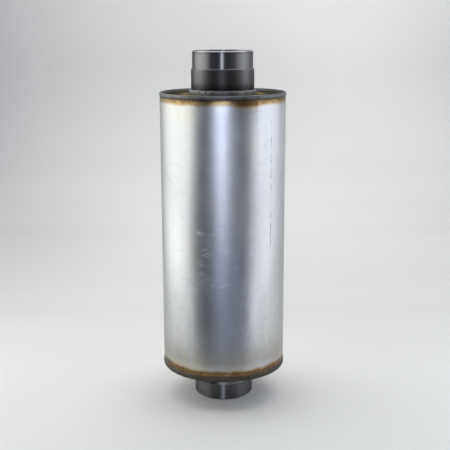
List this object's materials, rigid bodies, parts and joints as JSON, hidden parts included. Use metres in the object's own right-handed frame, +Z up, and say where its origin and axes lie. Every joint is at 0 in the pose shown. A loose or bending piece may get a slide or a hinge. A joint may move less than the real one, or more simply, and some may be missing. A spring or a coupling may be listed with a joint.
{
  "type": "exhaust muffler",
  "caption": "Round in-line exhaust muffler: seam-welded sheet shell, welded end plates, machined pipe necks, and slotted tubes and baffles inside.",
  "frame": {"origin": "on the floor, on the axis, at the middle of the lower neck's end", "axes": "+Z up along the axis from the outlet neck to the inlet neck; the picture looks along +Y"},
  "size_m": [0.205, 0.205, 0.5762],
  "materials": {
    "shell_sheet": "aluminised mild steel sheet, satin, with brown heat tint beside the welds and fine handling marks",
    "seam_metal": "thin flattened lengthwise weld, satin grey",
    "cap_plate": "dark mill-finish steel with golden and olive heat tint round the neck",
    "rim_weld_metal": "smooth grey weld band, dull, with a start and stop overlap",
    "neck_weld_metal": "lumpy fillet weld, dark grey with bright ripples",
    "neck_steel": "turned dark steel, semi-gloss, with fine tool lines",
    "inner_sheet": "plain mill-finish steel"
  },
  "bodies": {
    "root": {"shell": "shell_sheet", "shell_seam_weld": "seam_metal", "inlet_cap": "cap_plate", "outlet_cap": "cap_plate", "inlet_rim_weld": "rim_weld_metal", "outlet_rim_weld": "rim_weld_metal", "inlet_neck": "neck_steel", "outlet_neck": "neck_steel", "inlet_neck_weld": "neck_weld_metal", "outlet_neck_weld": "neck_weld_metal", "inlet_tube": "inner_sheet", "outlet_tube": "inner_sheet", "inlet_tube_plug": "inner_sheet", "outlet_tube_plug": "inner_sheet", "inlet_baffle": "inner_sheet", "outlet_baffle": "inner_sheet"}
  },
  "joints": []
}
